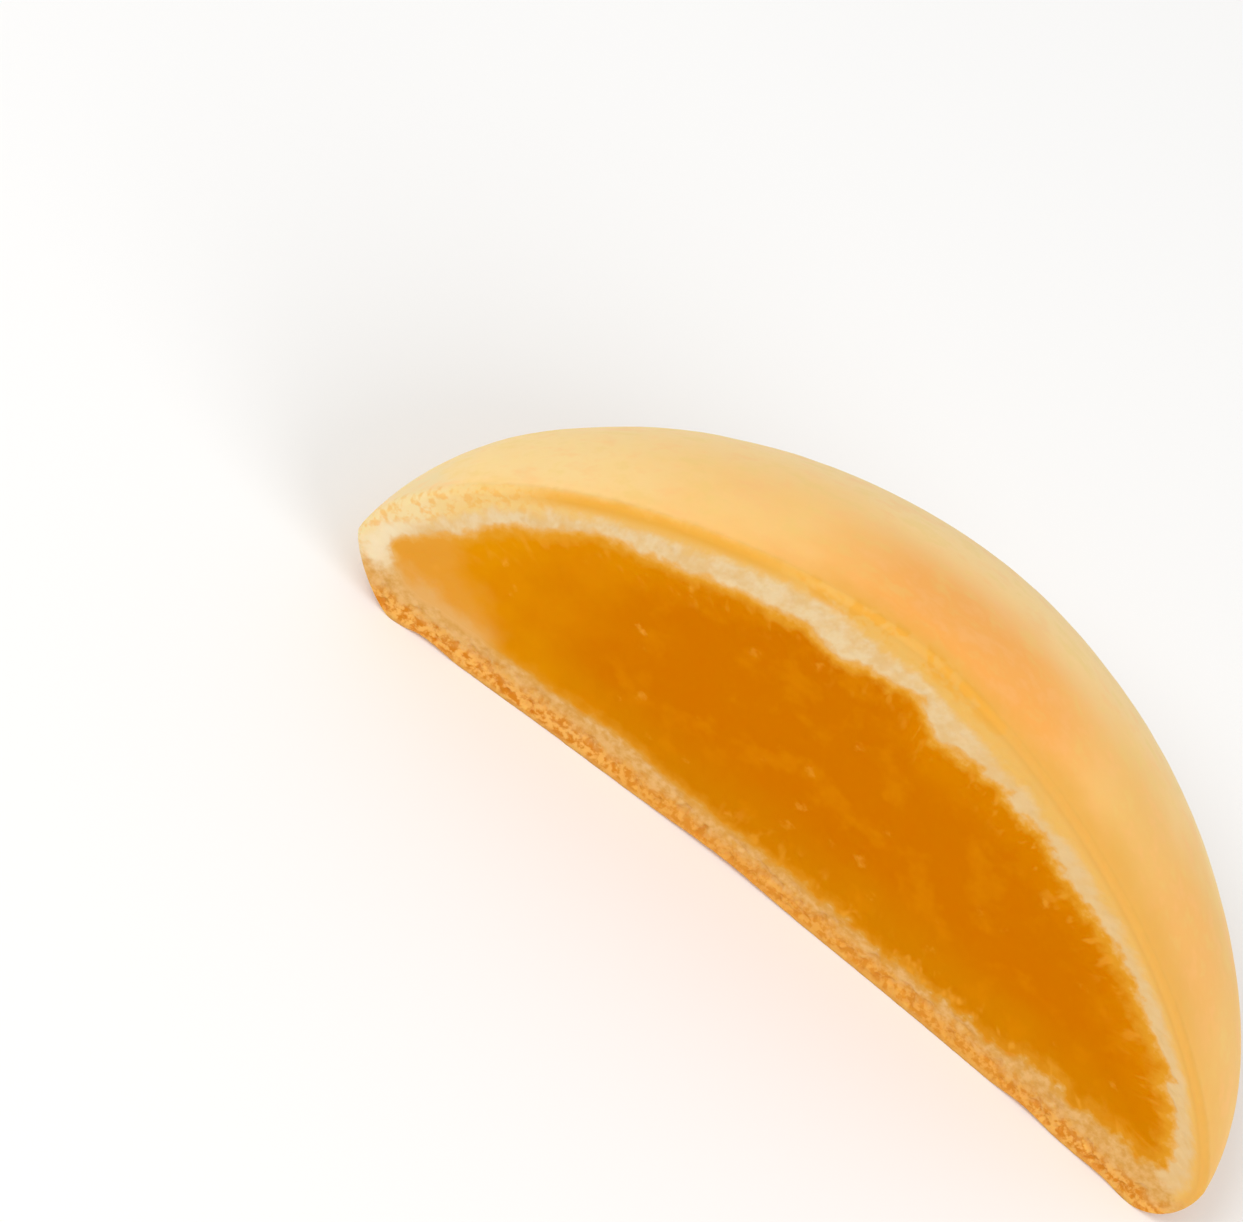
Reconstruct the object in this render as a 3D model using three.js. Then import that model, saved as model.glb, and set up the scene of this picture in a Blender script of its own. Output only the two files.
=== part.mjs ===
// Half of a baked bean paste bun, cut lengthwise and resting on its flat base.
// Millimetres, +Z up, +X along the cut, with the cut face looking to -Y.
// The dough is a thin-walled half dome, open at the cut, and the paste fills it.

import * as THREE from 'three';
import { mergeVertices } from 'three/addons/utils/BufferGeometryUtils.js';

// The outside of the dough: a squat dome that is widest just above its base.
const DOUGH = {
  halfLength: 31.9, // from the middle to either end of the cut
  depth: 26, // from the cut to the back
  floor: 0,
  girth: 4.5, // height of the widest outline
  height: 24.4,
  leftInset: 4, // how far the underside draws in towards each end
  rightInset: 3,
  leftRounding: 1.3, // from 1 for a straight slope to 2 for a round one
  rightRounding: 2,
  leftPower: 1.74, // fuller or steeper shoulders at each end and at the back
  rightPower: 1.42,
  backPower: 1.8,
  centre: 0.1,
  lean: -0.045, // sideways shift for each millimetre of height
  lip: 0.5, // rounding of the crust's cut edge
};

// The paste fills the dough unevenly: thin walls at the ends, a thicker roof.
const PASTE = {
  halfLength: 29.3,
  depth: 22.6,
  floor: 3.1,
  girth: 5.1,
  height: 20.6,
  leftInset: 2.4,
  rightInset: 2.4,
  leftRounding: 2,
  rightRounding: 2,
  leftPower: 1.52,
  rightPower: 1.72,
  backPower: 1.8,
  centre: 0.25,
  lean: -0.11,
  lip: 0,
};

const CLEARANCE = 0.3; // between the paste and the dough round it
const PLAN_POWER = 1.95; // the plan is a slightly slim ellipse
const DOME_POWER = 1.7; // how the dome spreads from its top
const CUT_LEAN = 0.03; // the cut leans back as it rises
const CUT_BOW = 1.5; // the cut is hollowed in the middle of its length
const BOW_REACH = 12; // depth over which the hollowing fades out

// Steps of the facets
const COLUMNS = 44; // over the dome from end to end
const SLICES = 18; // from the cut to the back
const UNDERSIDE_ROWS = 4; // from the widest outline down to the floor
const LIP_STEPS = 2;

const COLOURS = { dough: 0xf4c583, paste: 0xd87c0a };

// The cavity is the paste with the clearance added all round.
function grown(form, gap) {
  return {
    ...form,
    halfLength: form.halfLength + gap,
    depth: form.depth + gap,
    floor: form.floor - gap,
    height: form.height + gap,
  };
}

// A point of a form, set on the leaning, hollowed cut and behind it.
function place(form, x, y, z) {
  const across = form.centre + x + form.lean * z;
  const back = y + CUT_LEAN * z;
  const middle = 1 - (across / DOUGH.halfLength) ** 2;
  const nearCut = THREE.MathUtils.clamp(1 - back / BOW_REACH, 0, 1);
  return new THREE.Vector3(across, back + CUT_BOW * middle * nearCut, z);
}

// Height of the dome over a place in the plan, both as parts of the full reach.
function domeHeight(form, across, back) {
  const spread = (Math.abs(across) ** PLAN_POWER + back ** PLAN_POWER) ** (1 / PLAN_POWER);
  const endwise = across ** 2 / Math.max(across ** 2 + back ** 2, Number.EPSILON);
  const endPower = across > 0 ? form.rightPower : form.leftPower;
  const power = THREE.MathUtils.lerp(form.backPower, endPower, endwise);
  const rise = Math.max(0, 1 - spread ** DOME_POWER) ** (1 / power);
  return THREE.MathUtils.lerp(form.girth, form.height, rise);
}

// The slices of a form: how deep each lies, and how much its edge is eased for the lip.
function slicesOf(form) {
  const slices = [];
  for (let step = 0; step < LIP_STEPS && form.lip > 0; step += 1) {
    const angle = (step / LIP_STEPS) * (Math.PI / 2);
    const back = (form.lip * (1 - Math.cos(angle))) / form.depth;
    slices.push({ back, ease: form.lip * (1 - Math.sin(angle)) });
  }
  const first = form.lip / form.depth;
  for (let step = 0; step <= SLICES; step += 1) {
    const turn = Math.sin((step / SLICES) * (Math.PI / 2));
    slices.push({ back: THREE.MathUtils.lerp(first, 1, turn), ease: 0 });
  }
  return slices;
}

function acrossAt(column, back) {
  const widest = Math.max(0, 1 - back ** PLAN_POWER) ** (1 / PLAN_POWER);
  return widest * Math.cos((column / COLUMNS) * Math.PI);
}

// The dome as rows of points, one row for each slice, each from the right end to the left.
function domeRows(form) {
  return slicesOf(form).map(({ back, ease }) => {
    const eased = { ...form, halfLength: form.halfLength - ease, height: form.height - ease };
    const row = [];
    for (let column = 0; column <= COLUMNS; column += 1) {
      const across = acrossAt(column, back);
      row.push(place(form, eased.halfLength * across, form.depth * back, domeHeight(eased, across, back)));
    }
    return row;
  });
}

// How far in the underside is drawn at a part of the way up to the widest outline;
// across runs from -1 at the left end to 1 at the right end.
function undersideScale(form, rise, across) {
  const side = (1 + across) / 2;
  const inset = THREE.MathUtils.lerp(form.leftInset, form.rightInset, side);
  const power = THREE.MathUtils.lerp(form.leftRounding, form.rightRounding, side);
  const drawn = 1 - (1 - (1 - rise) ** power) ** (1 / power);
  return 1 - (inset / form.halfLength) * drawn;
}

// The rounded underside as rows round the plan, from the widest outline down to the floor.
function undersideRows(form, dome) {
  const slices = slicesOf(form);
  const rim = [...dome.map((row) => row[0]), ...dome.slice(0, -1).reverse().map((row) => row.at(-1))];
  const rows = [rim];
  for (let step = UNDERSIDE_ROWS - 1; step >= 0; step -= 1) {
    const rise = 1 - Math.cos((step / UNDERSIDE_ROWS) * (Math.PI / 2));
    const z = THREE.MathUtils.lerp(form.floor, form.girth, rise);
    const side = (column) =>
      slices.map(({ back, ease }) => {
        const across = acrossAt(column, back);
        const scale = undersideScale(form, rise, across);
        return place(form, (form.halfLength - ease) * across * scale, form.depth * back * scale, z);
      });
    rows.push([...side(0), ...side(COLUMNS).slice(0, -1).reverse()]);
  }
  return rows;
}

// The face at the cut as rows from the floor up, sharing its edges with the dome and the underside.
function cutRows(form, dome, underside) {
  const { ease } = slicesOf(form)[0];
  const rows = [];
  for (let step = 0; step < UNDERSIDE_ROWS; step += 1) {
    const ring = underside[UNDERSIDE_ROWS - step];
    const rise = 1 - Math.cos((step / UNDERSIDE_ROWS) * (Math.PI / 2));
    const row = [ring[0]];
    for (let column = 1; column < COLUMNS; column += 1) {
      const across = acrossAt(column, 0);
      const x = (form.halfLength - ease) * across * undersideScale(form, rise, across);
      row.push(place(form, x, 0, THREE.MathUtils.lerp(form.floor, dome[0][column].z, rise)));
    }
    rows.push([...row, ring.at(-1)]);
  }
  return [...rows, dome[0]];
}

// The outline of the cut face, from the right end over the top and back along the floor.
function cutOutline(rows) {
  const top = rows.at(-1);
  const between = rows.slice(1, -1);
  const left = between.map((row) => row.at(-1)).reverse();
  const right = between.map((row) => row[0]);
  return [...top, ...left, ...rows[0].toReversed(), ...right, top[0]];
}

function addTriangle(faces, a, b, c) {
  if (a.equals(b) || b.equals(c) || c.equals(a)) return;
  faces.push([a, b, c]);
}

function addQuads(faces, rows) {
  for (let r = 0; r + 1 < rows.length; r += 1) {
    for (let k = 0; k + 1 < rows[r].length; k += 1) {
      const [a, b] = [rows[r][k], rows[r][k + 1]];
      const [d, c] = [rows[r + 1][k], rows[r + 1][k + 1]];
      addTriangle(faces, a, d, c);
      addTriangle(faces, a, c, b);
    }
  }
}

// The flat floor, filled between the lowest ring and the foot of the cut.
function addFloor(faces, ring, foot) {
  const outline = [...ring, ...foot.slice(1, -1).reverse()];
  const flat = outline.map((point) => new THREE.Vector2(point.x, point.y));
  for (const [a, b, c] of THREE.ShapeUtils.triangulateShape(flat, [])) {
    addTriangle(faces, outline[a], outline[c], outline[b]);
  }
}

// The curved surface and floor of a form, without its cut face.
function bowl(form) {
  const dome = domeRows(form);
  const underside = undersideRows(form, dome);
  const cut = cutRows(form, dome, underside);
  const faces = [];
  addQuads(faces, dome);
  addQuads(faces, underside);
  addFloor(faces, underside.at(-1), cut[0]);
  return { faces, cut };
}

function turnedInside(faces) {
  return faces.map(([a, b, c]) => [a, c, b]);
}

function closedGeometry(faces) {
  const corners = faces.flat().flatMap((point) => point.toArray());
  const loose = new THREE.BufferGeometry();
  loose.setAttribute('position', new THREE.Float32BufferAttribute(corners, 3));
  const geometry = mergeVertices(loose);
  geometry.computeVertexNormals();
  return geometry;
}

function doughGeometry() {
  const outside = bowl(DOUGH);
  const cavity = bowl(grown(PASTE, CLEARANCE));
  const rim = [];
  addQuads(rim, [cutOutline(cavity.cut), cutOutline(outside.cut)]);
  return closedGeometry([...outside.faces, ...turnedInside(cavity.faces), ...rim]);
}

function pasteGeometry() {
  const { faces, cut } = bowl(PASTE);
  addQuads(faces, cut);
  return closedGeometry(faces);
}

function named(name, geometry, color, roughness) {
  const mesh = new THREE.Mesh(geometry, new THREE.MeshStandardMaterial({ color, roughness, metalness: 0 }));
  mesh.name = name;
  return mesh;
}

const halfBun = new THREE.Group();
halfBun.add(named('dough', doughGeometry(), COLOURS.dough, 0.6));
halfBun.add(named('bean_paste', pasteGeometry(), COLOURS.paste, 0.45));

// The origin is under the middle of the half, on the surface that it rests on.
const middle = new THREE.Box3().setFromObject(halfBun).getCenter(new THREE.Vector3());
for (const piece of halfBun.children) piece.position.set(-middle.x, -middle.y, 0);

export default halfBun;
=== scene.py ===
"""Half of a baked bean paste bun, cut lengthwise: its browned skin, cream crumb and amber filling."""
import math
from dataclasses import dataclass, replace

import bpy
import numpy as np
from mathutils import Matrix, Vector


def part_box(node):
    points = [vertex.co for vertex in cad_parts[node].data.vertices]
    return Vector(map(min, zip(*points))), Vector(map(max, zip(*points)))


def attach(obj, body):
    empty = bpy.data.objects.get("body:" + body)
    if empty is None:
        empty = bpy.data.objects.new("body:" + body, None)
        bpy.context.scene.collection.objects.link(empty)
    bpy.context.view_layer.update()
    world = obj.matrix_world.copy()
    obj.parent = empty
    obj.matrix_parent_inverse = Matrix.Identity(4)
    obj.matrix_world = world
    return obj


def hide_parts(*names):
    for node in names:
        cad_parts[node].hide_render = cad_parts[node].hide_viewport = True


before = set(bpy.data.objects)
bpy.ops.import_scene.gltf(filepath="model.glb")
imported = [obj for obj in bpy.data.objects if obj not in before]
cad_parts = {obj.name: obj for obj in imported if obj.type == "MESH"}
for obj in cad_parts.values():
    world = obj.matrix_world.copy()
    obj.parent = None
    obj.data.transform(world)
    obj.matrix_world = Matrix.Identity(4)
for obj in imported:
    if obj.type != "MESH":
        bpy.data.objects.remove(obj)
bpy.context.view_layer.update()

MM = 0.001


@dataclass(frozen=True)
class Form:
    """Sizes of a half dome in millimetres, as the solids have them."""
    half_length: float
    depth: float
    floor: float
    girth: float
    height: float
    left_inset: float
    right_inset: float
    left_rounding: float
    right_rounding: float
    left_power: float
    right_power: float
    back_power: float
    centre: float
    lean: float


DOUGH = Form(
    half_length=31.9, depth=26, floor=0, girth=4.5, height=24.4,
    left_inset=4, right_inset=3, left_rounding=1.3, right_rounding=2,
    left_power=1.74, right_power=1.42, back_power=1.8,
    centre=0.1, lean=-0.045,
)
PASTE = Form(
    half_length=29.3, depth=22.6, floor=3.1, girth=5.1, height=20.6,
    left_inset=2.4, right_inset=2.4, left_rounding=2, right_rounding=2,
    left_power=1.52, right_power=1.72, back_power=1.8,
    centre=0.25, lean=-0.11,
)
LIP = 0.5  # rounding of the crust's cut edge
PLAN_POWER = 1.95
DOME_POWER = 1.7
CUT_LEAN = 0.03
CUT_BOW = 1.5
BOW_REACH = 12
HEEL = 0.6  # from the worn front edge of the base back to where it lies flat
WEAR = 0.03  # small raggedness of that edge
CAVITY_GAP = 0.3  # between the paste and the hidden inside of the dough, under and behind it
OVERLAP = 0.3  # how far paste and crumb run on behind each other where they meet
DIVE = 0.4  # how steeply they do so

# Where the paste's edge swells or draws in along the cut: place, half width and how far, in millimetres.
ROOF_WAVES = [
    (-29.8, 0.5, 0.40), (-27.2, 1.8, -0.65), (-20.0, 1.8, 0.60), (-7.5, 0.8, 0.45), (-5.0, 1.4, -0.75),
    (0.0, 1.3, 0.60), (3.0, 1.4, -0.70), (10.2, 1.6, 0.40), (18.8, 2.0, 0.40), (22.8, 1.4, -0.25),
    (25.3, 0.6, 0.45), (26.4, 0.6, -0.50),
]
FLOOR_WAVES = [
    (-12.0, 2.5, -0.25), (-3.0, 5.5, 0.36), (9.0, 6.0, 0.46), (15.0, 2.0, 0.20),
    (20.5, 2.2, -0.50), (26.5, 2.4, -0.70),
]
# The same up the left side, where the paste ends in a corner: height, half width and how far.
LEFT_WAVES = [(7.2, 0.8, -0.15), (6.0, 0.5, 0.10), (4.2, 0.9, -0.35)]
# Where the front edge of the base is lifted: place, half width and how far.
BASE_WAVES = [(-25.0, 1.6, 0.35), (-3.0, 4.5, 0.35), (20.5, 1.8, 0.30), (27.0, 2.5, 0.20)]

# Heights of the reliefs, in millimetres, slow or coarse ones first
DOME_RELIEFS = 0.16, 0.03
CRUMB_RELIEFS = 0.06, 0.04
PORE_DEPTH = 0.03
HOLE_DEPTH = 0.16
PASTE_RELIEFS = 0.10, 0.02

# Seeds of the noises; each further octave of a noise takes the next number
EDGE_SEED, FINE_EDGE_SEED = 3, 9
DOME_SEED, FINE_DOME_SEED = 21, 31
WEAR_SEED = 25
CRUMB_SEED, FINE_CRUMB_SEED = 51, 41
PORE_SEED, HOLE_SEED = 61, 71
PASTE_SEED, FINE_PASTE_SEED = 81, 91

FAR = 9.0  # stands for any distance from an edge that no look depends on

# Fineness of the meshes
COLUMNS = 640
CRUMB_ROWS = 30
PASTE_ROWS = 26
SIDE_ROWS = 26
LIP_ROWS = 6
DOME_ROWS = 46
HIDDEN_ROWS = 8
FOOT_EVENNESS = 0.15  # keeps the columns from crowding at the ends of the floor
RING_CROWDING = 1.6  # brings the rings of the paste's face closer together towards its edge
# The middle line of the paste's face: how far it runs either way and rises, in millimetres
SPINE_REACH = 25
SPINE_RISE = 6


# Noise

def hashed(cell, seed):
    """A number from -1 to 1 for each cell of a lattice."""
    mixed = np.zeros(cell.shape[:-1], np.uint64)
    for axis, prime in enumerate((73856093, 19349663, 83492791)):
        mixed ^= (cell[..., axis].astype(np.int64) + 4096).astype(np.uint64) * np.uint64(prime)
    mixed ^= np.uint64(seed * 2654435761 % 4294967296)
    for shift, factor in ((16, 2246822519), (13, 3266489917)):
        mixed = (mixed ^ (mixed >> np.uint64(shift))) * np.uint64(factor) & np.uint64(0xFFFFFFFF)
    mixed ^= mixed >> np.uint64(16)
    return mixed.astype(float) / 2147483647.5 - 1


def noise(points, size, seed):
    """Smooth noise from about -1 to 1 with bumps of that size."""
    scaled = np.asarray(points, float) / size
    cell = np.floor(scaled)
    part = scaled - cell
    part = part * part * part * (part * (part * 6 - 15) + 10)
    total = np.zeros(scaled.shape[:-1])
    for corner in np.ndindex(2, 2, 2):
        weight = np.prod(np.where(np.array(corner) == 1, part, 1 - part), axis=-1)
        total += weight * hashed(cell + np.array(corner), seed)
    return total


def layered(points, size, seed, octaves=3):
    total = sum(noise(points, size / 2 ** n, seed + n) / 2 ** n for n in range(octaves))
    return total / (2 - 0.5 ** (octaves - 1))


def smooth_step(value, low, high):
    t = np.clip((value - low) / (high - low), 0, 1)
    return t * t * (3 - 2 * t)


# Shape of a half dome

def plan_reach(back):
    return np.maximum(0, 1 - back ** PLAN_POWER) ** (1 / PLAN_POWER)


def dome_height(form, height, across, back):
    """Height over a place in the plan; across and back are parts of the full reach."""
    spread = (np.abs(across) ** PLAN_POWER + back ** PLAN_POWER) ** (1 / PLAN_POWER)
    endwise = across ** 2 / np.maximum(across ** 2 + back ** 2, 1e-12)
    end_power = np.where(across > 0, form.right_power, form.left_power)
    power = form.back_power + (end_power - form.back_power) * endwise
    rise = np.maximum(0, 1 - spread ** DOME_POWER) ** (1 / power)
    return form.girth + (height - form.girth) * rise


def underside_scale(form, rise, across):
    """How far in the underside is drawn; across runs from -1 at the left end to 1 at the right end."""
    side = (1 + across) / 2
    inset = form.left_inset + (form.right_inset - form.left_inset) * side
    power = form.left_rounding + (form.right_rounding - form.left_rounding) * side
    return 1 - inset / form.half_length * (1 - (1 - (1 - rise) ** power) ** (1 / power))


def hollowed(across, back):
    """How far back a point lies once the cut is bowed."""
    middle = 1 - (across / DOUGH.half_length) ** 2
    return back + CUT_BOW * middle * np.clip(1 - back / BOW_REACH, 0, 1)


def place(form, x, y, z):
    """Sets points of a form on the leaning, hollowed cut and behind it."""
    x, y, z = np.broadcast_arrays(x, y, z)
    across = form.centre + x + form.lean * z
    return np.stack([across, hollowed(across, y + CUT_LEAN * z), z], axis=-1)


class Bowl:
    """The dome, underside and cut of a form as grids of points, every row from the right end to the left."""

    def __init__(self, form, lip, rows):
        turn = np.cos(np.linspace(0, math.pi, COLUMNS + 1))
        back, ease = self.slices(form, lip, rows)
        across = plan_reach(back)[:, None] * turn
        half = form.half_length - ease
        y = form.depth * back
        height = (form.height - ease)[:, None]
        self.behind = y - lip
        roof = dome_height(form, height, across, back[:, None])
        self.dome = place(form, half[:, None] * across, y[:, None], roof)
        rises = 1 - np.cos(np.linspace(0, math.pi / 2, SIDE_ROWS + 1))[:, None]
        scale = underside_scale(form, rises, round_rim(plan_reach(back), -1))
        rim_x = round_rim(half * plan_reach(back), -1)
        level = form.floor + (form.girth - form.floor) * rises
        self.rings = place(form, rim_x * scale, round_rim(y) * scale, level)
        spread = FOOT_EVENNESS * np.linspace(1, -1, COLUMNS + 1) + (1 - FOOT_EVENNESS) * turn
        foot = place(form, half[0] * spread * underside_scale(form, 0, spread), 0, form.floor)
        self.foot = np.concatenate([self.rings[0, :1], foot[1:-1], self.rings[0, -1:]])

    def slices(self, form, lip, rows):
        """How deep each slice lies, as a part of the depth, and how far its edge is eased."""
        first = lip / form.depth
        back = first + (1 - first) * np.sin(np.linspace(0, math.pi / 2, rows + 1))
        if lip == 0:
            return back, 0 * back
        angle = np.linspace(0, math.pi / 2, LIP_ROWS, endpoint=False)
        front = lip * (1 - np.cos(angle)) / form.depth
        return np.concatenate([front, back]), np.concatenate([lip * (1 - np.sin(angle)), 0 * back])

    def outline(self):
        """Round the cut: over the top, down the left side, back along the floor and up the right side."""
        left, right = self.rings[1:-1, -1][::-1], self.rings[1:-1, 0]
        return np.concatenate([self.dome[0], left, self.foot[::-1], right])


def round_rim(values, sign=1):
    """Values at the slices, from the right front round the back to the left front."""
    return np.concatenate([values, sign * values[-2::-1]])


def rim_of(dome):
    return np.concatenate([dome[:, 0], dome[-2::-1, -1]])


# Meshes

class Skin:
    """Points, faces and named values of one mesh, added grid by grid."""

    def __init__(self):
        self.points, self.faces, self.values = [], [], {}
        self.count = 0

    def add(self, grid, **values):
        """Adds a grid of points and returns its numbers in the same layout."""
        numbers = self.count + np.arange(grid[..., 0].size).reshape(grid.shape[:-1])
        self.points.append(grid.reshape(-1, 3))
        for name, value in values.items():
            self.values.setdefault(name, []).append(np.broadcast_to(value, numbers.shape).ravel())
        self.count += numbers.size
        return numbers

    def quads(self, rows, inward=False):
        a, b, c, d = rows[:-1, :-1], rows[:-1, 1:], rows[1:, 1:], rows[1:, :-1]
        ring = (a, b, c, d) if inward else (a, d, c, b)
        self.faces.extend(np.stack(ring, axis=-1).reshape(-1, 4).tolist())

    def polygon(self, numbers):
        self.faces.append([int(n) for n in numbers])

    def build(self, name, offset):
        """Makes the mesh, without the points that no face uses."""
        faces = [list(dict.fromkeys(face)) for face in self.faces]
        faces = [face for face in faces if len(face) > 2]
        used = np.unique([n for face in faces for n in face])
        rank = np.zeros(self.count, int)
        rank[used] = np.arange(len(used))
        rank = rank.tolist()
        points = (np.concatenate(self.points)[used] + offset) * MM
        mesh = bpy.data.meshes.new(name)
        mesh.from_pydata(points.tolist(), [], [[rank[n] for n in face] for face in faces])
        for key, parts in self.values.items():
            layer = mesh.attributes.new(key, "FLOAT", "POINT")
            layer.data.foreach_set("value", np.concatenate(parts)[used])
        mesh.polygons.foreach_set("use_smooth", [True] * len(mesh.polygons))
        mesh.validate()
        mesh.update()
        piece = bpy.data.objects.new(name, mesh)
        bpy.context.scene.collection.objects.link(piece)
        return piece


def one_pole(dome):
    """The last row of a dome is a single point, so its numbers are made the same."""
    dome[-1] = dome[-1, 0]
    return dome


def outward(grid):
    """The direction out of the surface at each point of a dome grid."""
    along, behind = np.gradient(grid, axis=1), np.gradient(grid, axis=0)
    normal = np.cross(behind, along)
    length = np.linalg.norm(normal, axis=-1, keepdims=True)
    return np.where(length > 1e-9, normal / np.maximum(length, 1e-9), 0)


def on_face(flat):
    """Points given across and up, set on the cut."""
    across, z = flat[..., 0], flat[..., 1]
    return np.stack([across, hollowed(across, CUT_LEAN * z), z], axis=-1)


def ring_closed(rows):
    return np.concatenate([rows, rows[:, :1]], axis=1)


# The uneven line between paste and crumb

def waves(across, table):
    return sum(height * np.exp(-((across - place_x) / width) ** 2) for place_x, width, height in table)


def paste_line():
    """The line round the paste on the cut, in the order of Bowl.outline, and the ways out to the crust."""
    loop = Bowl(PASTE, 0, HIDDEN_ROWS).outline()[:, [0, 2]]
    out = Bowl(DOUGH, LIP, HIDDEN_ROWS).outline()[:, [0, 2]] - loop
    out /= np.linalg.norm(out, axis=-1, keepdims=True)
    x, z = loop.T
    roof = smooth_step(z, PASTE.floor + 0.6, PASTE.girth)
    floor = 1 - smooth_step(z, PASTE.floor + 0.1, PASTE.floor + 1.5)
    left = 1 - smooth_step(x, -29, -26)
    swell = roof * waves(x, ROOF_WAVES) + floor * waves(x, FLOOR_WAVES) + left * waves(z, LEFT_WAVES)
    flat = np.stack([x, 0 * x, z], axis=-1)
    coarse = 0.10 + 0.20 * smooth_step(x, -14, 16)
    ragged = coarse * (layered(flat, 1.4, EDGE_SEED, 3) + 0.6 * noise(flat, 0.5, FINE_EDGE_SEED))
    return loop + (swell + ragged)[:, None] * out, out


# The dough

def dome_relief(grid, behind):
    """Gentle unevenness of the baked skin, fading out at the cut and towards the widest outline."""
    fade = smooth_step(behind, 0, 3)[:, None] * smooth_step(grid[..., 2], DOUGH.girth, DOUGH.girth + 5)
    slow, quick = layered(grid, 11, DOME_SEED, 2), layered(grid, 2.4, FINE_DOME_SEED, 2)
    relief = DOME_RELIEFS[0] * slow + DOME_RELIEFS[1] * quick
    return grid + outward(grid) * (fade * relief)[..., None]


def chipped(foot):
    """How far the front edge of the base is lifted, in millimetres."""
    across = foot[:, 0]
    flat = np.stack([across, 0 * across, 0 * across], axis=-1)
    worn = waves(across, BASE_WAVES) + WEAR * (1 + layered(flat, 0.6, WEAR_SEED, 2))
    return worn * smooth_step(np.minimum(across - across.min(), across.max() - across), 0, 2)


def crumb_relief(flat, inward, from_paste):
    """How far the torn crumb lies behind the plain cut, in millimetres."""
    grid = np.stack([flat[..., 0], 0 * flat[..., 0], flat[..., 1]], axis=-1)
    floor = 1 - smooth_step(flat[..., 1], 1.7, 2.9)
    slow, quick = layered(grid, 3, CRUMB_SEED, 2), layered(grid, 1.1, FINE_CRUMB_SEED, 3)
    rough = CRUMB_RELIEFS[0] * slow + CRUMB_RELIEFS[1] * quick
    pores = smooth_step(noise(grid, 0.5, PORE_SEED), 0.3, 0.8) * PORE_DEPTH
    holes = smooth_step(layered(grid, 0.8, HOLE_SEED, 2), 0.1, 0.5) * HOLE_DEPTH * floor
    fade = np.maximum(smooth_step(inward, LIP, LIP + 1.2), floor * smooth_step(inward, 0, 0.5))
    near_paste = smooth_step(from_paste, 0, 0.6)
    return fade * near_paste * (rough + pores + holes) + DIVE * np.maximum(-from_paste, 0)


def dough_mesh(offset):
    bowl = Bowl(DOUGH, LIP, DOME_ROWS)
    bowl.dome = dome_relief(bowl.dome, bowl.behind)
    bowl.rings[-1] = rim_of(bowl.dome)
    heel = bowl.foot[1:-1] + np.array([0, HEEL, 0])
    bowl.foot[:, 2] += chipped(bowl.foot)
    skin = Skin()
    place_values = dict(zip(("edge_x", "edge_z"), (bowl.dome[..., 0], bowl.dome[..., 2])))
    dome = one_pole(skin.add(bowl.dome, inward=-bowl.behind[:, None], from_paste=FAR, **place_values))
    low = bowl.rings[:-1]
    place_values = dict(zip(("edge_x", "edge_z"), (low[..., 0], low[..., 2])))
    low = skin.add(low, inward=-round_rim(bowl.behind), from_paste=FAR, **place_values)
    rings = np.concatenate([low, rim_of(dome)[None]])
    foot = bowl.foot[1:-1]
    low_values = {"from_paste": FAR, "edge_x": foot[:, 0], "edge_z": 0.0}
    foot = np.concatenate([rings[0, :1], skin.add(foot, inward=0.0, **low_values), rings[0, -1:]])
    heel = np.concatenate([rings[0, :1], skin.add(heel, inward=-HEEL, **low_values), rings[0, -1:]])
    skin.quads(dome)
    skin.quads(rings[::-1])
    skin.quads(np.stack([heel, foot]))
    skin.polygon(np.concatenate([rings[0], heel[-2:0:-1]])[::-1])

    edge = np.concatenate([dome[0], rings[1:-1, -1][::-1], foot[::-1], rings[1:-1, 0]])
    outer, (inner, _) = bowl.outline(), paste_line()
    mouth = crumb_ring(skin, outer, inner, edge)
    cavity_wall(skin, mouth)
    return skin.build("baked_dough", offset)


def crumb_ring(skin, outer, inner, edge):
    """The cut wall between the paste and the outline; returns the row that is hidden under the paste."""
    span = outer[:, [0, 2]] - inner
    width = np.linalg.norm(span, axis=-1)
    share = np.concatenate([-OVERLAP / width[None], np.linspace(0 * width, 1, CRUMB_ROWS)])
    flat = inner + span * share[..., None]
    rounded = LIP * smooth_step(outer[:, 2], 0, 1.5)
    inward, from_paste = (1 - share) * width + rounded, share * width
    edge_x, edge_z = np.broadcast_to(outer[:, 0], share.shape), np.broadcast_to(outer[:, 2], share.shape)
    face = on_face(flat)
    face[..., 1] += crumb_relief(flat, inward, from_paste)
    values = {"inward": inward, "from_paste": from_paste, "edge_x": edge_x, "edge_z": edge_z}
    torn = skin.add(face[:-1], **{name: value[:-1] for name, value in values.items()})
    skin.quads(ring_closed(np.concatenate([torn, edge[None]])))
    return torn[0]


def cavity_wall(skin, mouth):
    """The hidden inside of the dough, joined to the inner edge of the crumb."""
    larger = replace(PASTE, floor=PASTE.floor - CAVITY_GAP, depth=PASTE.depth + CAVITY_GAP)
    hidden = {"inward": FAR, "from_paste": 0.0, "edge_x": 0.0, "edge_z": 0.0}
    join_bowl(skin, Bowl(larger, 0, HIDDEN_ROWS), mouth, True, hidden)


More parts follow.
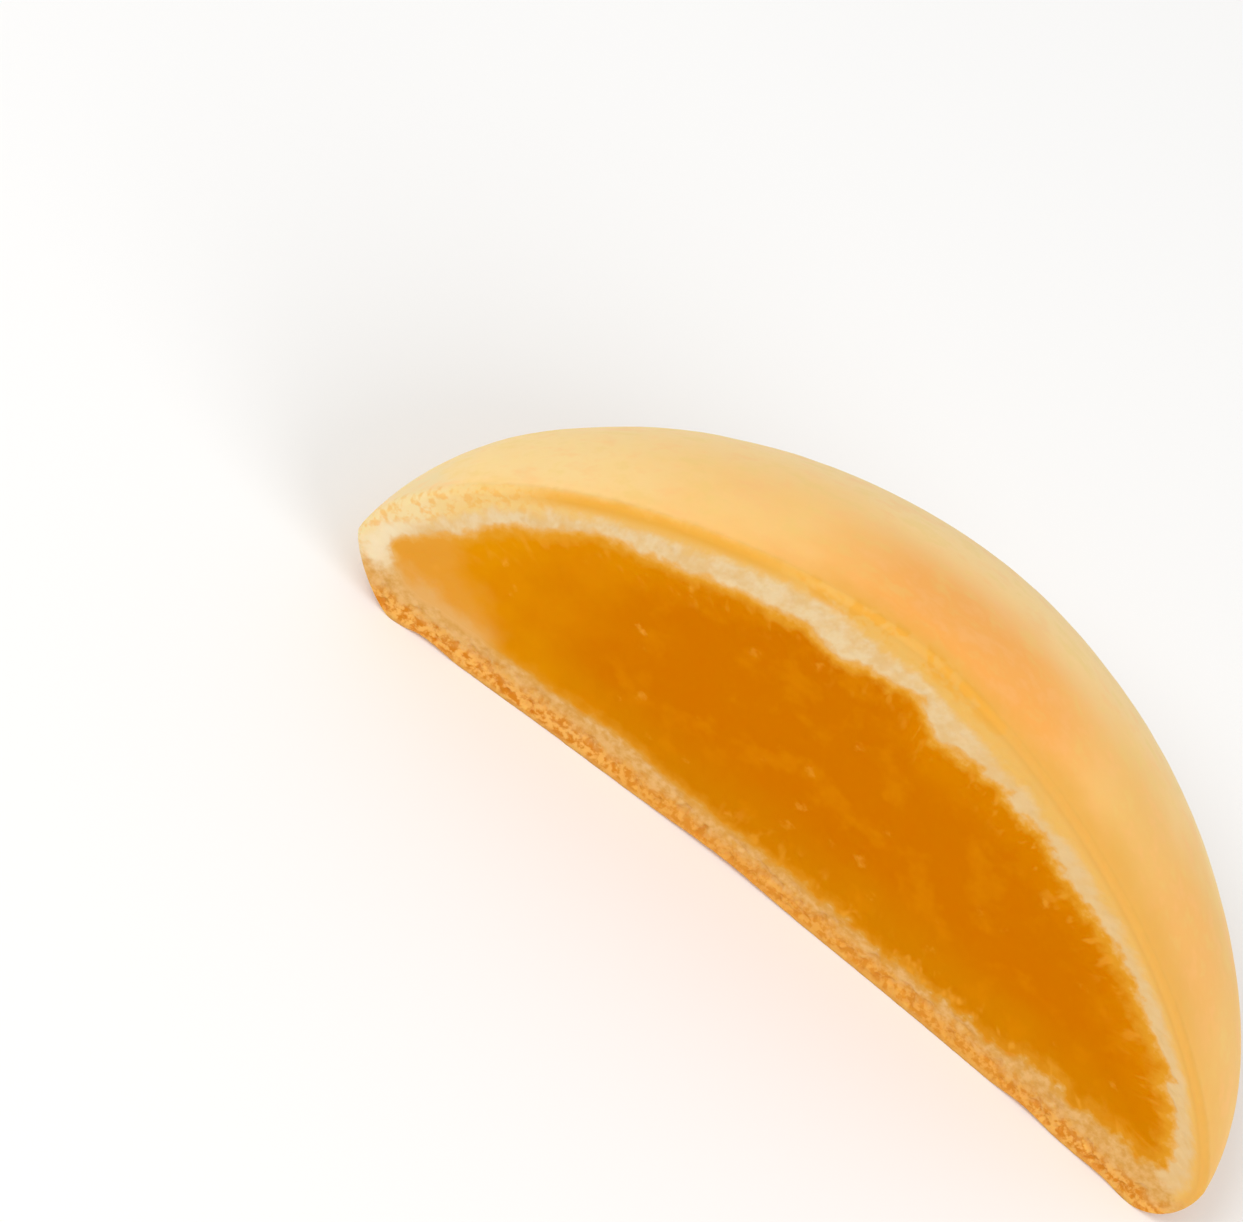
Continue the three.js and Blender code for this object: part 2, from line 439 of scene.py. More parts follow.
def join_bowl(skin, bowl, mouth, inward, values):
    """Adds the dome, underside and floor of a bowl behind a loop of points that are there already."""
    top, left, floor, right = np.split(mouth, np.cumsum([COLUMNS + 1, SIDE_ROWS - 1, COLUMNS + 1]))
    dome = np.concatenate([top[None], one_pole(skin.add(bowl.dome[1:], **values))])
    right_side, left_side = np.concatenate([floor[-1:], right]), np.concatenate([left, floor[:1]])[::-1]
    inner = skin.add(bowl.rings[:-1, 1:-1], **values)
    low = np.concatenate([right_side[:, None], inner, left_side[:, None]], axis=1)
    rings = np.concatenate([low, rim_of(dome)[None]])
    skin.quads(dome, inward)
    skin.quads(rings[::-1], inward)
    base = np.concatenate([rings[0], floor[1:-1]])
    skin.polygon(base if inward else base[::-1])


# The bean paste

def paste_mesh(offset):
    """The paste's face is made of rings that close in on a line along its middle."""
    line, out = paste_line()
    spine = spine_points()
    share = np.linspace(0, 1, PASTE_ROWS + 1)[:, None, None] ** RING_CROWDING
    flat = line + (round_face(spine) - line) * share
    from_edge = np.stack([np.linalg.norm(ring[:, None] - line, axis=-1).min(axis=1) for ring in flat])
    flat = np.concatenate([(line + OVERLAP * out)[None], flat])
    from_edge = np.concatenate([np.full((1, len(line)), -OVERLAP), from_edge])
    face = on_face(flat)
    face[..., 1] += paste_relief(face, from_edge)
    skin = Skin()
    edge_x, edge_z = (np.broadcast_to(line[:, axis], from_edge.shape) for axis in (0, 1))
    values = {"from_edge": from_edge, "edge_x": edge_x, "edge_z": edge_z}
    rings = skin.add(face[:-1], **{name: value[:-1] for name, value in values.items()})
    spine_values = {name: value[-1, :COLUMNS + 1] for name, value in values.items()}
    middle = skin.add(face[-1, :COLUMNS + 1], **spine_values)
    skin.quads(ring_closed(np.concatenate([round_face(middle)[None], rings[::-1]])))
    join_bowl(skin, Bowl(PASTE, 0, HIDDEN_ROWS), rings[0], False, {name: 0.0 for name in values})
    return skin.build("amber_paste", offset)


def spine_points():
    """The middle line of the face from right to left, low at both ends so that no columns cross."""
    turn = np.linspace(0, math.pi, COLUMNS + 1)
    part = (np.cos(turn) + 1 - 2 * turn / math.pi) / 2
    return np.stack([SPINE_REACH * part, PASTE.girth + SPINE_RISE * (1 - part ** 2)], axis=-1)


def round_face(middle):
    """Lays the middle line round the face, in the order of Bowl.outline: both ends fan out to the sides."""
    sides = SIDE_ROWS - 1
    left, right = np.repeat(middle[-1:], sides, axis=0), np.repeat(middle[:1], sides, axis=0)
    return np.concatenate([middle, left, middle[::-1], right])


def paste_relief(face, from_edge):
    """How far the paste lies behind the plain cut: nearly flush, diving under the crumb at its edge."""
    flat = face * np.array([1, 0, 1])
    slow, quick = layered(flat, 6, PASTE_SEED, 2), layered(flat, 1.2, FINE_PASTE_SEED, 3)
    relief = PASTE_RELIEFS[0] * slow + PASTE_RELIEFS[1] * quick
    return smooth_step(from_edge, 0, 1.5) * relief + DIVE * np.maximum(-from_edge, 0)


# Material nodes

class Nodes:
    """Adds nodes to one material; each method returns the socket that it makes."""

    def __init__(self, name):
        self.material = bpy.data.materials.new(name)
        self.material.use_nodes = True
        self.tree = self.material.node_tree
        self.shader = self.tree.nodes["Principled BSDF"]
        self.place = self.new("ShaderNodeTexCoord").outputs["Object"]

    def new(self, kind, **settings):
        made = self.tree.nodes.new(kind)
        for key, value in settings.items():
            setattr(made, key, value)
        return made

    def feed(self, socket, value):
        if isinstance(value, bpy.types.NodeSocket):
            self.tree.links.new(value, socket)
        else:
            socket.default_value = value

    def value(self, name):
        return self.new("ShaderNodeAttribute", attribute_name=name).outputs["Fac"]

    def axes(self):
        """The place of a point in millimetres, as three sockets."""
        split = self.new("ShaderNodeSeparateXYZ")
        self.feed(split.inputs[0], self.place)
        return [self.math("MULTIPLY", split.outputs[name], 1 / MM) for name in "XYZ"]

    def vector(self, x, y, z):
        made = self.new("ShaderNodeCombineXYZ")
        for socket, value in zip(made.inputs, (x, y, z)):
            self.feed(socket, value)
        return made.outputs[0]

    def noise(self, size, detail=3.0, roughness=0.55, at=None):
        """Noise whose blotches are about size across, in millimetres of the object or units of at."""
        texture = self.new("ShaderNodeTexNoise")
        self.feed(texture.inputs["Vector"], at if at is not None else self.place)
        texture.inputs["Scale"].default_value = 1 / size if at is not None else 1 / (size * MM)
        texture.inputs["Detail"].default_value = detail
        texture.inputs["Roughness"].default_value = roughness
        return texture.outputs["Fac"]

    def dots(self, spacing, radius):
        """One at points about that far apart, falling to nothing at the radius; both in millimetres."""
        texture = self.new("ShaderNodeTexVoronoi", feature="F1")
        self.feed(texture.inputs["Vector"], self.place)
        texture.inputs["Scale"].default_value = 1 / (spacing * MM)
        away = self.shaken(texture.outputs["Distance"], self.noise(0.5, 2), 2.2 * radius / spacing)
        return self.step(away, 0.0, radius / spacing, 1.0, 0.0)

    def math(self, operation, a, b=0.0):
        made = self.new("ShaderNodeMath", operation=operation)
        self.feed(made.inputs[0], a)
        self.feed(made.inputs[1], b)
        return made.outputs[0]

    def shaken(self, value, texture, amount):
        """The value, moved up to half the amount either way by a noise."""
        centred = self.math("SUBTRACT", texture, 0.5)
        return self.math("ADD", value, self.math("MULTIPLY", centred, amount))

    def step(self, value, low, high, start=0.0, end=1.0):
        """Smoothly from start to end as value goes from low to high."""
        made = self.new("ShaderNodeMapRange", interpolation_type="SMOOTHSTEP")
        keys = "Value", "From Min", "From Max", "To Min", "To Max"
        for key, number in zip(keys, (value, low, high, start, end)):
            self.feed(made.inputs[key], number)
        return made.outputs["Result"]

    def bell(self, value, middle, width):
        """One at the middle, nothing beyond width on either side."""
        away = self.math("ABSOLUTE", self.math("SUBTRACT", value, middle))
        return self.step(away, 0.0, width, 1.0, 0.0)

    def mix(self, share, a, b):
        made = self.new("ShaderNodeMix", data_type="RGBA")
        self.feed(made.inputs["Factor"], share)
        self.feed(made.inputs[6], a)
        self.feed(made.inputs[7], b)
        return made.outputs[2]

    def both(self, a, b):
        return self.math("MULTIPLY", a, b)

    def spot(self, centre, radius):
        """One at a point of the object, falling to nothing at radius; both in millimetres."""
        away = self.new("ShaderNodeVectorMath", operation="DISTANCE")
        self.feed(away.inputs[0], self.place)
        away.inputs[1].default_value = [c * MM for c in centre]
        return self.step(away.outputs["Value"], 0.0, radius * MM, 1.0, 0.0)

    def bump(self, height, distance, normal=None):
        made = self.new("ShaderNodeBump")
        made.inputs["Strength"].default_value = 1.0
        made.inputs["Distance"].default_value = distance * MM
        self.feed(made.inputs["Height"], height)
        if normal is not None:
            self.feed(made.inputs["Normal"], normal)
        return made.outputs["Normal"]


def shade(red, green, blue):
    """A colour given as screen values from 0 to 255, in linear light."""
    parts = [channel / 255 for channel in (red, green, blue)]
    return tuple(p / 12.92 if p <= 0.04045 else ((p + 0.055) / 1.055) ** 2.4 for p in parts) + (1.0,)


# The dough's material

# White and pale skin at the left end and golden skin at the right stand partly for painted light and shade
WHITE_SKIN = shade(231, 210, 160)
PALE_SKIN = shade(250, 213, 144)
MIDDLE_SKIN = shade(249, 198, 118)
GOLDEN_SKIN = shade(241, 187, 101)
BROWNED_SKIN = shade(247, 172, 82)
BACK_SKIN_AND_HIGHLIGHT = shade(254, 216, 150)
YELLOW_MOTTLE = shade(240, 202, 112)
ROSY_MOTTLE = shade(252, 188, 118)
EDGE_SKIN = shade(228, 170, 72)
BASE_SKIN = shade(214, 140, 60)
EDGE_LINE = shade(224, 165, 62)
EDGE_SPECK = shade(226, 163, 56)
EDGE_BAND = shade(226, 178, 92)
LEFT_BAND = shade(230, 194, 122)
# Painted shade for the crust's rounded edge at the right, where the lamps light it brighter than the cut
PAINTED_LIP_SHADE = shade(218, 163, 76)
BAND_FLECK = shade(230, 174, 84)
PALE_CRUMB = shade(224, 198, 153)
DEEP_CRUMB = shade(219, 181, 122)
WHITE_CRUMB = shade(234, 218, 182)
MEETING_CRUMB = shade(222, 164, 78)
LOW_MEETING = shade(210, 150, 56)
BASE_CRUMB = shade(206, 150, 66)
LOW_CRUMB = shade(222, 174, 106)
BASE_GRAIN = shade(236, 178, 90)
BASE_CRUST = shade(218, 150, 50)
BASE_DARK_GRAIN = shade(204, 122, 10)

# Sizes of the skin's unevenness, in millimetres
BLOTCH, PATCH, MOTTLE, PITS = 9, 3, 2.2, 0.5
# The paler left end and deeper right are partly baked colour, partly painted light and shade as if lit from
# the left
# Where the skin's colour changes along the cut, in millimetres from its middle
WHITE_TO_PALE = -33, -28
PALE_TO_MIDDLE = -29, -9
MIDDLE_TO_GOLDEN = 4, 15
EDGE_SKIN_BEGINS = -16, -4
EDGE_SKIN_WIDENS = 6, 16
EDGE_SKIN_FADES = 22, 29
# Where it turns paler, in millimetres behind the middle: partly paler baked sides, partly a painted
# highlight along the far outline
FRONT_TO_BACK = -5, 4
# Centre, radius and strength of the browned spots
BROWNED_SPOTS = ((1, -8, 25), 16, 1.0), ((22, -8, 15.5), 8, 0.4)
# Middle and reach of the golden specks, in from the crust and along the cut
SPECK_DEPTH, SPECK_SPAN = (0.5, 1.3), (-2, 13)

# Depth of the golden band under the crust, at the left and elsewhere
BAND_DEPTHS = 1.9, 1.55
# Where the band is deeper or less deep: middle, reach and by how much
BAND_SWELLS = (4, 14, 0.6), (-8, 5, -0.5)
# Middle and reach of the line and of the painted shade on the crust's rounded edge, in from the crust
LINE_DEPTH, PAINTED_SHADE_DEPTH = (0.5, 0.85), (0.25, 0.8)
# Sizes of the crumb's unevenness and of the base's grain, in millimetres
STREAK, FINE_CRUMB, CRUMB_MOTTLE, LOW_MOTTLE = 0.7, 0.6, 1.5, 1.6
GRAIN, COARSE_GRAIN = 0.5, 1.2
# Heights at which the base turns to low crumb and that to pale crumb
BASE_TOP, LOW_CRUMB_TOP = (0.9, 2.3), (2.4, 3.9)

FIBRE_SCALE = 0.6  # applied to the way in from an edge, so that streaks are longer that way


def skin_colour(nodes, across, behind, inward):
    """Pale at the left end, orange over the middle, golden at the right and paler behind, partly as painted
    light and shade.
    """
    blotches, patches = nodes.noise(BLOTCH, 2), nodes.noise(PATCH, 3)
    place = nodes.shaken(nodes.shaken(across, blotches, 10), patches, 4)
    # Pale towards the left end, deeper towards the right: partly baked colour, partly painted light and
    # shade as if lit from the left
    colour = nodes.mix(nodes.step(place, *PALE_TO_MIDDLE), PALE_SKIN, MIDDLE_SKIN)
    colour = nodes.mix(nodes.step(place, *WHITE_TO_PALE, 0.8, 0.0), colour, WHITE_SKIN)
    colour = nodes.mix(nodes.step(place, *MIDDLE_TO_GOLDEN), colour, GOLDEN_SKIN)
    for centre, radius, share in BROWNED_SPOTS:
        browned = nodes.shaken(nodes.shaken(nodes.spot(centre, radius), blotches, 0.4), patches, 0.35)
        colour = nodes.mix(nodes.step(browned, 0.0, 0.8, 0.0, share), colour, BROWNED_SKIN)
    # Paler behind: partly the paler baked sides, partly a painted highlight along the far outline
    back = nodes.shaken(nodes.shaken(behind, blotches, 6), patches, 3)
    colour = nodes.mix(nodes.step(back, *FRONT_TO_BACK, 0.0, 0.85), colour, BACK_SKIN_AND_HIGHLIGHT)
    colour = mottled_skin(nodes, colour)
    reach = nodes.shaken(nodes.shaken(inward, patches, 1.8), blotches, 1.5)
    colour = nodes.mix(edge_skin_share(nodes, across, reach), colour, EDGE_SKIN)
    return speckled(nodes, colour, across, inward)


def edge_skin_share(nodes, across, inward):
    """How golden the skin is beside the cut: a strip that widens and then fades towards the right."""
    width = nodes.step(across, *EDGE_SKIN_WIDENS, -2.4, -4.5)
    left = nodes.step(across, *EDGE_SKIN_BEGINS, 0.1, 0.85)
    right = nodes.step(across, *EDGE_SKIN_FADES, 1.0, 0.6)
    return nodes.both(nodes.step(inward, width, 0.3), nodes.both(left, right))


def speckled(nodes, colour, across, inward):
    """Golden specks along the top of the crust, on either side of its cut edge."""
    zone = nodes.both(nodes.bell(inward, *SPECK_DEPTH), nodes.bell(across, *SPECK_SPAN))
    specks = nodes.both(nodes.step(nodes.noise(1.3, 2), 0.42, 0.62, 0.1, 1.0), zone)
    return nodes.mix(nodes.step(specks, 0.0, 0.7, 0.0, 0.85), colour, EDGE_SPECK)


def mottled_skin(nodes, colour):
    """Faint yellow and rosy blotches a millimetre or two across."""
    mottle = nodes.noise(MOTTLE, 3, 0.6)
    colour = nodes.mix(nodes.step(mottle, 0.5, 0.7, 0.0, 0.35), colour, YELLOW_MOTTLE)
    return nodes.mix(nodes.step(mottle, 0.3, 0.5, 0.35, 0.0), colour, ROSY_MOTTLE)


def band_depth(nodes, across, height):
    """How far the golden band under the crust reaches in, in millimetres."""
    depth = nodes.step(across, -29, -21, *BAND_DEPTHS)
    for middle, reach, swell in BAND_SWELLS:
        depth = nodes.math("ADD", depth, nodes.both(nodes.bell(across, middle, reach), swell))
    depth = nodes.math("SUBTRACT", depth, nodes.step(across, 12, 20, 0.0, 0.25))
    end_wall = nodes.math("MAXIMUM", nodes.step(height, 5, 10, 0.4, 1.0), nodes.step(across, -29, -24))
    return nodes.both(depth, end_wall)


def golden_band(nodes, across, mottle):
    """The crumb just under the crust: golden, paler and flecked at the left, whitest at the very end."""
    band = nodes.mix(nodes.step(across, -26, -18), LEFT_BAND, EDGE_BAND)
    end = nodes.step(nodes.shaken(across, mottle, 4), -30, -27, 0.8, 0.0)
    band = nodes.mix(end, band, WHITE_SKIN)
    fleck = nodes.step(nodes.noise(FINE_CRUMB, 2), 0.45, 0.65)
    return nodes.mix(nodes.both(fleck, nodes.step(across, -26, -20, 0.65, 0.3)), band, BAND_FLECK)


def inner_crumb(nodes, across, streaks, mottle):
    """The crumb further in: streaky, deeper towards the right and nearly white at the left end."""
    crumb = nodes.mix(nodes.step(nodes.shaken(streaks, mottle, 1.0), 0.2, 0.8), DEEP_CRUMB, PALE_CRUMB)
    crumb = nodes.mix(nodes.step(across, -4, 12, 0.0, 0.7), crumb, DEEP_CRUMB)
    end = nodes.step(nodes.shaken(across, mottle, 2), -30.5, -28.5, 0.8, 0.0)
    return nodes.mix(end, crumb, WHITE_CRUMB)


def crumb_colour(nodes, across, height):
    """Pale crumb with a golden band, a line at the left and, at the right, painted shade on the crust's
    rounded edge.
    """
    inward = nodes.value("inward")
    streaks, mottle = nodes.noise(STREAK, 2, at=fibres(nodes, inward)), nodes.noise(CRUMB_MOTTLE, 3)
    depth = nodes.shaken(nodes.shaken(inward, mottle, 1.4), streaks, 0.9)
    beyond = nodes.step(nodes.math("SUBTRACT", depth, band_depth(nodes, across, height)), -0.6, 0.6)
    band, crumb = golden_band(nodes, across, mottle), inner_crumb(nodes, across, streaks, mottle)
    colour = nodes.mix(beyond, band, crumb)
    left = nodes.both(nodes.step(across, -27, -22), nodes.step(across, -13, -7, 1.0, 0.0))
    colour = nodes.mix(nodes.both(nodes.bell(inward, *LINE_DEPTH), left), colour, EDGE_LINE)
    # Painted shade over the crust's rounded edge at the right, against the light it catches
    right = nodes.step(across, -12, 8, 0.0, 0.9)
    colour = nodes.mix(nodes.both(nodes.bell(inward, *PAINTED_SHADE_DEPTH), right), colour, PAINTED_LIP_SHADE)
    return speckled(nodes, colour, across, inward)


def base_colour(nodes, across, height, upright):
    """The coarse crust at the base: light and dark grains, stronger at both ends."""
    fine, coarse = nodes.noise(GRAIN, 2, 0.6, at=upright), nodes.noise(COARSE_GRAIN, 2, at=upright)
    grain = nodes.step(nodes.shaken(fine, coarse, 0.3), 0.4, 0.6)
    left, right = nodes.step(across, -14, -8, 0.9, 0.45), nodes.step(across, 16, 24, 0.4, 0.8)
    strength = nodes.math("MAXIMUM", left, right)
    colour = nodes.mix(strength, BASE_CRUST, nodes.mix(grain, BASE_DARK_GRAIN, BASE_GRAIN))
    lowest = nodes.shaken(height, nodes.noise(LOW_MOTTLE, 2, at=upright), 0.6)
    return nodes.mix(nodes.step(lowest, 0.1, 0.5, 0.6, 0.0), colour, BASE_GRAIN)


def face_colour(nodes, across, height):
    """The crumb, darker towards the base, with the paste's colour creeping over its inner edge."""
    upright = nodes.vector(across, 0.0, height)
    fine, mottle = nodes.noise(FINE_CRUMB, 3, at=upright), nodes.noise(LOW_MOTTLE, 3, at=upright)
    level = nodes.shaken(nodes.shaken(height, mottle, 1.4), fine, 1.4)
    low_crumb = nodes.mix(nodes.step(nodes.shaken(fine, mottle, 0.5), 0.3, 0.7), BASE_CRUMB, LOW_CRUMB)
    left = nodes.both(nodes.step(across, -29.5, -28), nodes.step(across, -22, -20, 0.9, 0.0))
    right = nodes.both(nodes.step(across, 14, 20), nodes.step(across, 28, 30, 1.2, 0.0))
    raised = nodes.math("SUBTRACT", level, nodes.math("ADD", left, right))
    colour = crumb_colour(nodes, across, height)
    colour = nodes.mix(nodes.step(raised, *LOW_CRUMB_TOP, 0.95, 0.0), colour, low_crumb)
    base = base_colour(nodes, across, height, upright)
    colour = nodes.mix(nodes.step(level, *BASE_TOP, 1.0, 0.0), colour, base)
    inside = nodes.math("MULTIPLY", nodes.value("from_paste"), -1.0)
    return where_they_meet(nodes, inside, across, height, colour, EDGE_PASTE)


def dough_material():
    nodes = Nodes("baked_dough")
    across, behind, height = nodes.axes()
    inward = nodes.value("inward")
    under = nodes.step(nodes.shaken(height, nodes.noise(PATCH, 3), 1.5), 0.6, 3.4, 0.9, 0.0)
    skin = nodes.mix(under, skin_colour(nodes, across, behind, inward), BASE_SKIN)
    cut = nodes.step(nodes.shaken(inward, nodes.noise(0.8, 3), 0.5), -0.4, 0.5)
    colour = nodes.mix(cut, skin, face_colour(nodes, across, height))
    nodes.feed(nodes.shader.inputs["Base Color"], colour)
    nodes.feed(nodes.shader.inputs["Roughness"], nodes.step(cut, 0, 1, 0.55, 0.85))
    pitted = nodes.bump(nodes.noise(PITS, 3, 0.6), 0.012)
    torn = nodes.both(nodes.noise(FINE_CRUMB, 3), cut)
    nodes.feed(nodes.shader.inputs["Normal"], nodes.bump(torn, 0.04, pitted))
    nodes.shader.inputs["Specular IOR Level"].default_value = 0.2
    soften(nodes, nodes.step(nodes.value("from_paste"), 0.2, 1.5, 0.0, 0.4), (1.0, 0.6, 0.3))
    return nodes.material


# Looks of both materials

def fibres(nodes, inward):
    """Coordinates in which a noise becomes streaks that run in from the nearest edge."""
    return nodes.vector(nodes.value("edge_x"), nodes.both(inward, FIBRE_SCALE), nodes.value("edge_z"))


def where_they_meet(nodes, inside, across, height, crumb, paste):
    """Crumb turns to paste along a ragged line, over a tan and an orange fringe.

    inside is how far a point lies in the paste, and less than nothing in the crumb.
    """
    centred = nodes.math("SUBTRACT", nodes.noise(0.9, 3), 0.5)
    ragged = nodes.math("ADD", inside, nodes.both(centred, nodes.step(across, -12, 12, 1.3, 2.2)))
    meeting = nodes.mix(nodes.step(height, 3, 5), LOW_MEETING, MEETING_CRUMB)
    meeting = nodes.mix(thin_and_low(nodes, height), meeting, PALEST_PASTE)
    colour = nodes.mix(nodes.step(ragged, -0.55, 0.0), crumb, meeting)
    fringe = thinned(nodes, nodes.mix(nodes.step(height, 3.5, 5.5, 0.5, 0.0), FRINGE, paste), height)
    colour = nodes.mix(nodes.step(ragged, -0.1, 0.35), colour, fringe)
    full = nodes.step(ragged, 0.1, nodes.step(across, 12, 20, 1.0, 1.6))
    return nodes.mix(full, colour, thinned(nodes, paste, height))


def soften(nodes, weight, radius):
    """Lets light through the surface; the weight is nothing where two pieces meet, which hides the seam."""
    nodes.feed(nodes.shader.inputs["Subsurface Weight"], weight)
    nodes.shader.inputs["Subsurface Radius"].default_value = radius
    nodes.shader.inputs["Subsurface Scale"].default_value = 1.2 * MM


# The paste's material

DEEP_PASTE = shade(200, 112, 0)
LOW_PASTE = shade(201, 124, 2)
EDGE_PASTE = shade(208, 124, 0)
FRINGE = shade(218, 150, 40)
LEFT_PASTE = shade(218, 142, 4)
PALE_PASTE = shade(220, 152, 54)
PALEST_PASTE = shade(220, 168, 98)
CLOUD = shade(211, 129, 4)
FLECK = shade(228, 158, 48)

# Sizes of the paste's unevenness, in millimetres
PASTE_PATCH, PASTE_CLOUD, LIGHT_CLOUD, PASTE_STREAK = 5, 1.8, 3.0, 0.75
# Where its colour changes: in from its edge, up from the floor and along the cut
EDGE_TO_DEEP = 0.2, 4.5
LOW_TO_DEEP = 4, 9
LEFT_TO_DEEP = -27, -12
# Centre and radius of the corners where it lies thin over the dough
THIN_CORNERS = ((-29, -12, 6.5), 5.5), ((-26, -12, 2.5), 7)
FLECK_SPACING, FLECK_RADIUS = 2.4, 0.55
STREAK_REACH = 0.5, 3.2


def paste_colour(nodes, across, height, from_edge):
    """Amber, lighter at the edge, near the floor and at the left, with light clouds and flecks."""
    patches, clouds = nodes.noise(PASTE_PATCH, 3), nodes.noise(PASTE_CLOUD, 3)
    depth = nodes.shaken(nodes.shaken(from_edge, patches, 5), clouds, 2)
    depth = nodes.math("ADD", depth, nodes.both(nodes.bell(across, -5, 9), 3.0))
    colour = nodes.mix(nodes.step(depth, *EDGE_TO_DEEP), EDGE_PASTE, DEEP_PASTE)
    low = nodes.step(nodes.shaken(height, patches, 4), *LOW_TO_DEEP, 0.8, 0.0)
    colour = nodes.mix(low, colour, LOW_PASTE)
    left = nodes.step(nodes.shaken(nodes.shaken(across, patches, 10), clouds, 4), *LEFT_TO_DEEP, 1.0, 0.0)
    colour = nodes.mix(nodes.both(left, 0.9), colour, LEFT_PASTE)
    colour = nodes.mix(nodes.step(nodes.noise(LIGHT_CLOUD, 3), 0.5, 0.7, 0.0, 0.6), colour, CLOUD)
    return flecks(nodes, colour, across, height, from_edge, clouds)


def paste_material():
    nodes = Nodes("amber_paste")
    across, _, height = nodes.axes()
    from_edge = nodes.value("from_edge")
    colour = paste_colour(nodes, across, height, from_edge)
    colour = where_they_meet(nodes, from_edge, across, height, DEEP_CRUMB, colour)
    nodes.feed(nodes.shader.inputs["Base Color"], colour)
    nodes.shader.inputs["Roughness"].default_value = 0.6
    nodes.feed(nodes.shader.inputs["Normal"], nodes.bump(nodes.noise(0.6, 4, 0.6), 0.02))
    nodes.shader.inputs["Specular IOR Level"].default_value = 0.0
    soften(nodes, nodes.step(from_edge, 0.1, 1.5, 0.0, 0.5), (1.0, 0.4, 0.05))
    return nodes.material


def thinness(nodes):
    """How thin the paste lies over the dough, from nothing to one, at its lower left corner."""
    corner = nodes.math("MAXIMUM", *(nodes.spot(centre, radius) for centre, radius in THIN_CORNERS))
    corner = nodes.shaken(corner, nodes.noise(PASTE_PATCH, 3), 0.3)
    return nodes.shaken(corner, nodes.noise(PASTE_CLOUD, 3), 0.5)


def thin_and_low(nodes, height):
    """How far the paste is both thin and near the floor."""
    low = nodes.step(nodes.shaken(height, nodes.noise(PASTE_CLOUD, 3), 3), 3.0, 5.2, 0.9, 0.0)
    return nodes.both(nodes.step(thinness(nodes), 0.1, 0.6), low)


def thinned(nodes, colour, height):
    """The paste's colour, paler where it is thin."""
    colour = nodes.mix(nodes.step(thinness(nodes), 0.1, 0.6, 0.0, 0.8), colour, PALE_PASTE)
    return nodes.mix(thin_and_low(nodes, height), colour, PALEST_PASTE)


def flecks(nodes, colour, across, height, from_edge, clouds):
    """Pale flecks: a few all over, and streaks that run in from the edge."""
    loose = nodes.both(nodes.dots(FLECK_SPACING, FLECK_RADIUS), nodes.step(clouds, 0.45, 0.6))
    colour = nodes.mix(nodes.both(loose, nodes.step(across, -22, -8, 0.9, 0.5)), colour, FLECK)
    streaks = nodes.shaken(nodes.noise(PASTE_STREAK, 1, at=fibres(nodes, from_edge)), clouds, 0.5)
    floor = nodes.both(nodes.step(height, 3.5, 6, 1.0, 0.0), nodes.step(across, -10, 2))
    roof = nodes.both(nodes.step(height, 6, 8), nodes.step(across, 2, 12, 0.5, 0.9))
    reach = nodes.both(nodes.math("MAXIMUM", floor, roof), nodes.step(from_edge, *STREAK_REACH, 1.0, 0.0))
    share = nodes.both(nodes.step(streaks, 0.52, 0.76), reach)
    return nodes.mix(nodes.both(share, 0.75), colour, FLECK)


# Camera, light and floor

AZIMUTH, ELEVATION, ROLL = (math.radians(angle) for angle in (3.08, 47.07, 36.0))
DISTANCE = 0.4  # metres
LENS, SENSOR = 194.24, 36
NEAREST = 0.01  # metres
AIM = Vector((-16.69, 5.70, 7.44))  # millimetres

WARM_WHITE = (1.0, 0.985, 0.96)
SKY_STRENGTH = 0.65
FLOOR_HALF = 2.0  # metres
FLOOR_COLOUR = (0.9, 0.9, 0.9, 1)


def set_camera(offset):
    """Looks down on the cut, rolled so that the half leans in the picture."""
    sin_a, cos_a = math.sin(AZIMUTH), math.cos(AZIMUTH)
    sin_e, cos_e = math.sin(ELEVATION), math.cos(ELEVATION)
    toward = Vector((sin_a * cos_e, -cos_a * cos_e, sin_e))
    right = Vector((cos_a, sin_a, 0))
    up = Vector((-sin_a * sin_e, cos_a * sin_e, cos_e))
    turned = math.cos(ROLL) * right + math.sin(ROLL) * up, math.cos(ROLL) * up - math.sin(ROLL) * right
    data = bpy.data.cameras.new("camera")
    data.lens, data.sensor_width = LENS, SENSOR
    data.clip_start = NEAREST
    camera = bpy.data.objects.new("camera", data)
    matrix = Matrix((turned[0], turned[1], toward)).transposed().to_4x4()
    matrix.translation = (AIM + Vector(offset)) * MM + toward * DISTANCE
    camera.matrix_world = matrix
    bpy.context.scene.collection.objects.link(camera)
    bpy.context.scene.camera = camera


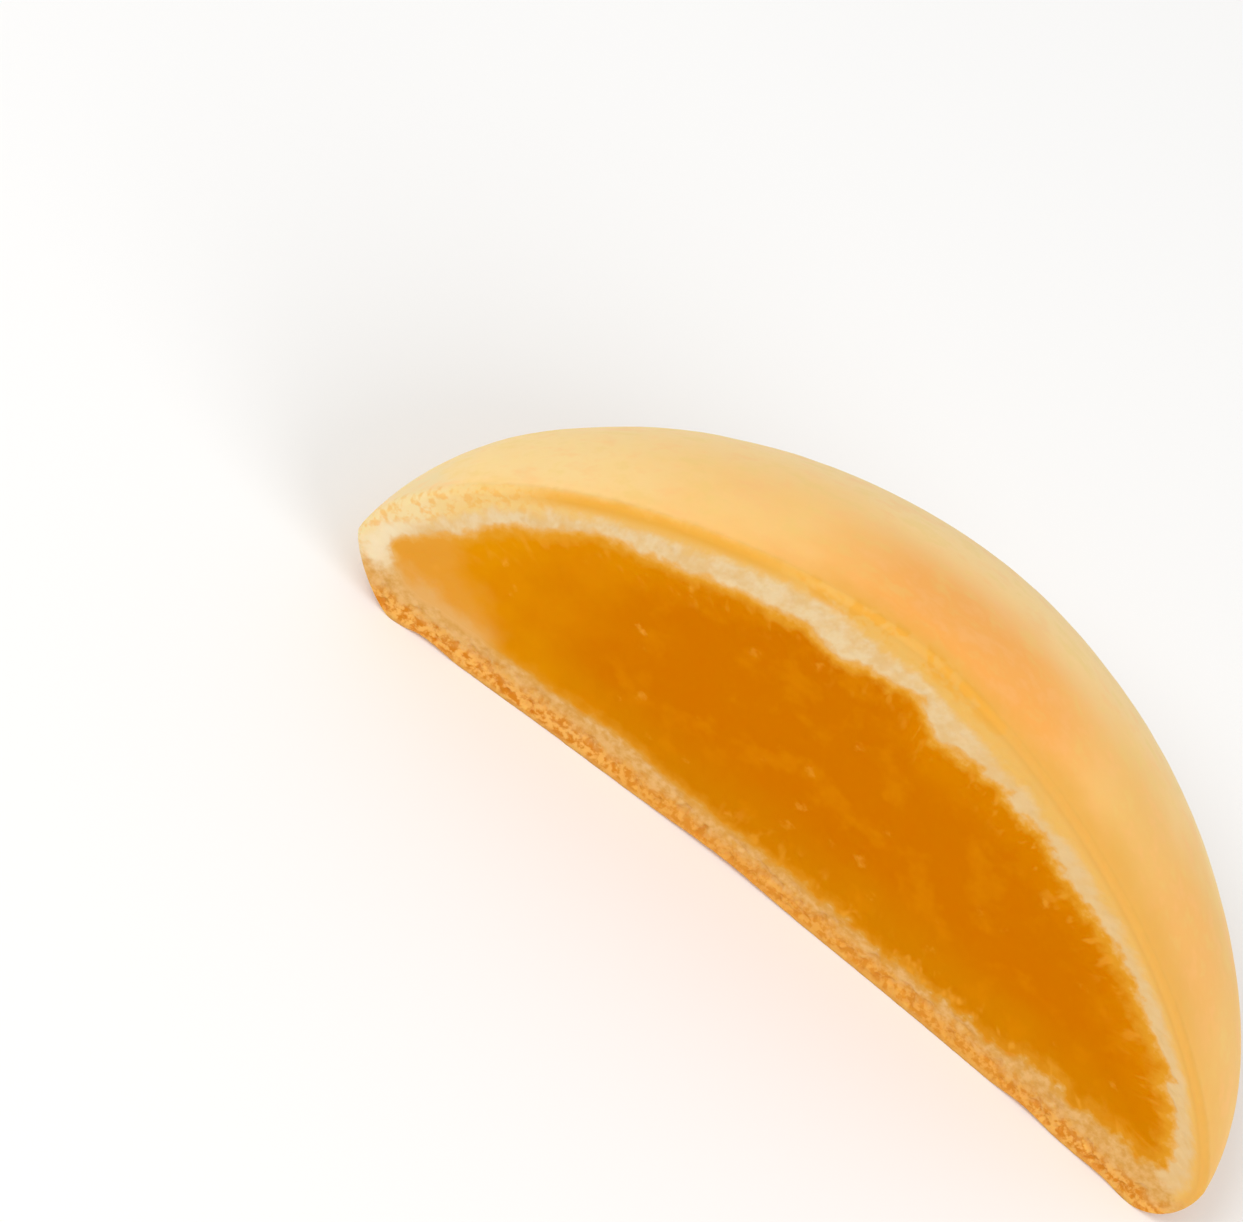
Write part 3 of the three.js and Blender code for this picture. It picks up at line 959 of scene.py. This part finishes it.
def area_light(name, place_m, size, power):
    """A round soft light in warm white that looks at the origin."""
    data = bpy.data.lights.new(name, "AREA")
    data.shape, data.size, data.energy, data.color = "DISK", size, power, WARM_WHITE
    light = bpy.data.objects.new(name, data)
    light.location = place_m
    light.rotation_euler = (-Vector(place_m)).to_track_quat("-Z", "Y").to_euler()
    bpy.context.scene.collection.objects.link(light)


def set_light():
    area_light("key", (-0.40, -0.35, 0.60), size=0.5, power=2.6)
    area_light("fill", (0.60, -0.35, 0.45), size=0.6, power=2.4)
    world = bpy.data.worlds.new("studio")
    world.use_nodes = True
    background = world.node_tree.nodes["Background"]
    background.inputs["Color"].default_value = (1, 1, 1, 1)
    background.inputs["Strength"].default_value = SKY_STRENGTH
    bpy.context.scene.world = world
    bpy.context.scene.view_settings.view_transform = "Standard"


def set_floor():
    half = FLOOR_HALF
    mesh = bpy.data.meshes.new("floor")
    corners = [(-half, -half, 0), (half, -half, 0), (half, half, 0), (-half, half, 0)]
    mesh.from_pydata(corners, [], [(0, 1, 2, 3)])
    floor = bpy.data.objects.new("floor", mesh)
    material = bpy.data.materials.new("pale_floor")
    material.use_nodes = True
    shader = material.node_tree.nodes["Principled BSDF"]
    shader.inputs["Base Color"].default_value = FLOOR_COLOUR
    shader.inputs["Roughness"].default_value = 0.9
    shader.inputs["Specular IOR Level"].default_value = 0.1
    mesh.materials.append(material)
    bpy.context.scene.collection.objects.link(floor)


# The scene

def offset_to_solids():
    """From the middle of the plain dome to the middle of the dough's solid, in millimetres."""
    low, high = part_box("dough")
    plain = Bowl(DOUGH, LIP, DOME_ROWS)
    points = np.concatenate([plain.dome.reshape(-1, 3), plain.rings.reshape(-1, 3)])
    middle = (points.min(axis=0) + points.max(axis=0)) / 2
    return np.array([(low.x + high.x) / 2 / MM - middle[0], (low.y + high.y) / 2 / MM - middle[1], 0])


offset = offset_to_solids()
set_camera(offset)
set_light()
set_floor()

for piece, material, node in (
    (dough_mesh(offset), dough_material(), "dough"),
    (paste_mesh(offset), paste_material(), "bean_paste"),
):
    piece.data.materials.append(material)
    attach(piece, "root")
    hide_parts(node)
